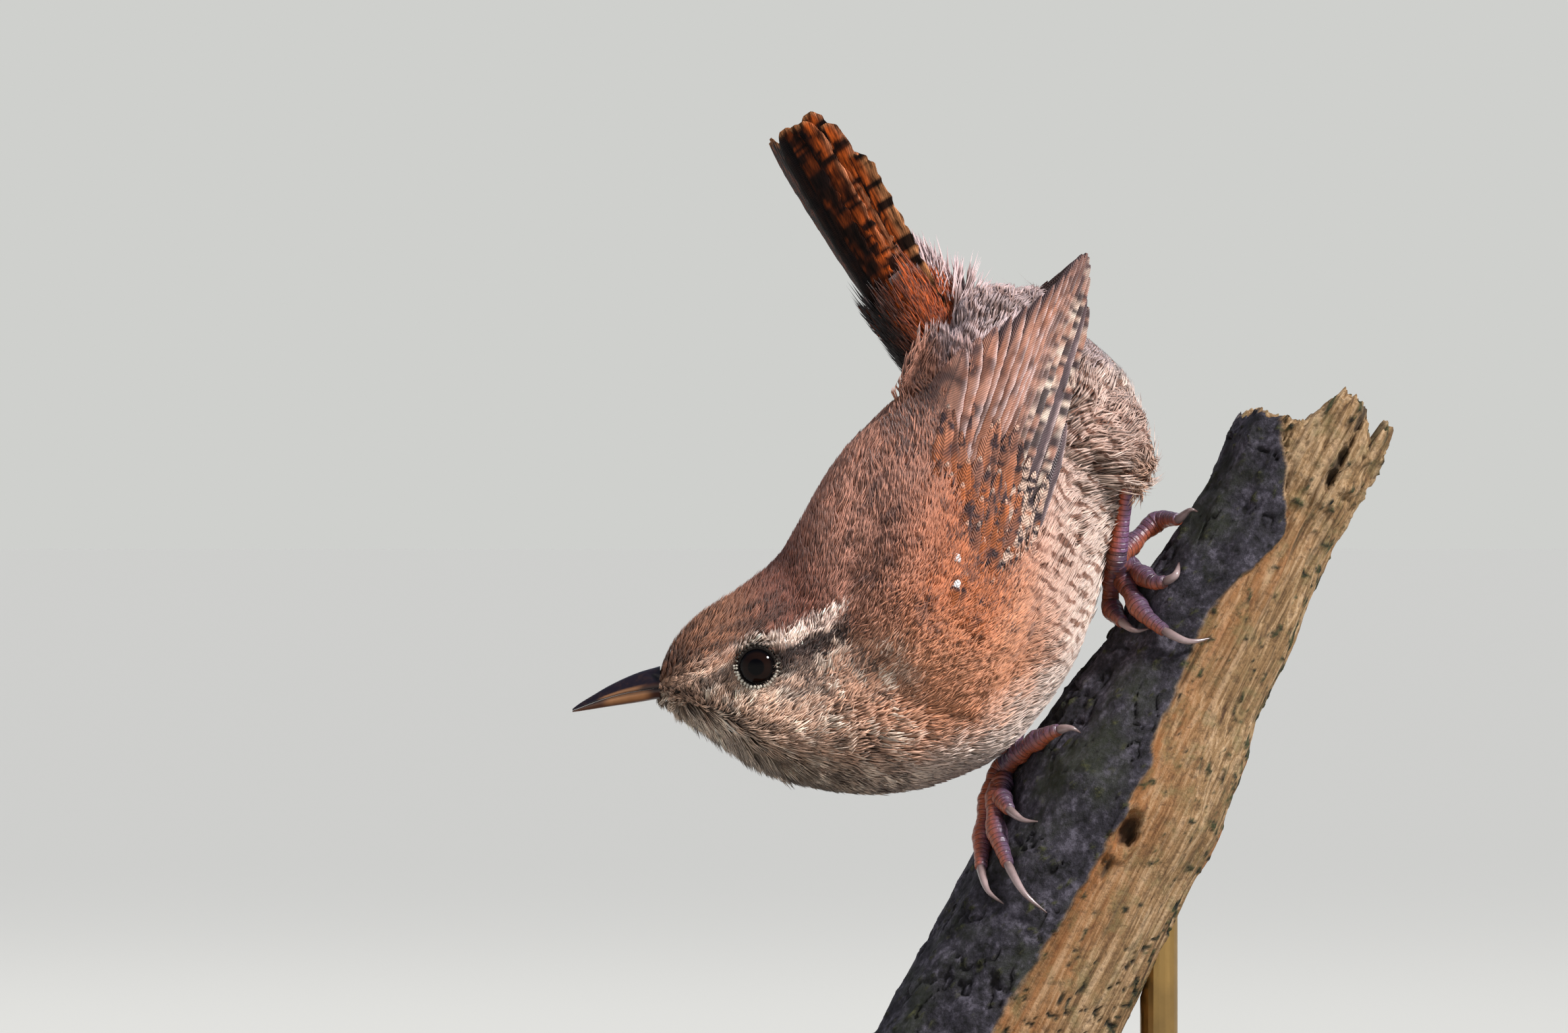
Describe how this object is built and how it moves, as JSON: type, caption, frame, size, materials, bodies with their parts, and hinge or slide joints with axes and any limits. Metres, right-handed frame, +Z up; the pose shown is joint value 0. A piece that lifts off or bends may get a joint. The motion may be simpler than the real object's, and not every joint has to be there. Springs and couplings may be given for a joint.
{
  "type": "wren on a perch",
  "caption": "Life-size wren model, head down and tail cocked, gripping a slanting broken branch that short rods hold over a flat display base.",
  "frame": {"origin": "middle of the display base's underside, on the floor", "axes": "+Z up, -Y towards the picture's camera (the bird's left side), -X where the bill points, so the branch climbs towards +X"},
  "size_m": [0.096, 0.064, 0.1217],
  "materials": {
    "stand_wood": "dark stained hardwood with a satin varnish",
    "stand_brass": "brushed and slightly dulled brass rod",
    "branch": "dead branch, half grey-green bark, half bare fibrous wood with green algae",
    "crown_feather": "short smooth warm brown feathers, pale brow stripe, dark eye stripe",
    "mantle_feather": "warm brown feathers with fine dark bars",
    "belly_feather": "loose buff-brown to whitish feathers with grey-brown bars on the flank",
    "thigh_feather": "short loose buff feathers with grey-brown bars",
    "flight_feather": "rufous brown vanes barred dark and buff-white",
    "tail_feather": "chocolate brown vanes with black bars and rufous edges",
    "eye": "wet, almost black, glossy",
    "bill_horn": "dark slate horn, satin",
    "bill_horn_pale": "buff to orange-brown horn, satin",
    "leg_scale": "scaled orange-brown to reddish purple skin with horn claws"
  },
  "bodies": {
    "root": {"stand_base": "stand_wood", "stand_rod_1": "stand_brass", "stand_rod_2": "stand_brass", "perch": "branch", "neck": "mantle_feather", "torso": "belly_feather", "head": "crown_feather", "eye_left": "eye", "eye_right": "eye", "bill_upper": "bill_horn", "bill_lower": "bill_horn_pale", "wing_left": "flight_feather", "wing_right": "flight_feather", "tail": "tail_feather", "thigh_left": "thigh_feather", "shank_left": "leg_scale", "foot_left": "leg_scale", "thigh_right": "thigh_feather", "shank_right": "leg_scale", "foot_right": "leg_scale"}
  },
  "joints": []
}
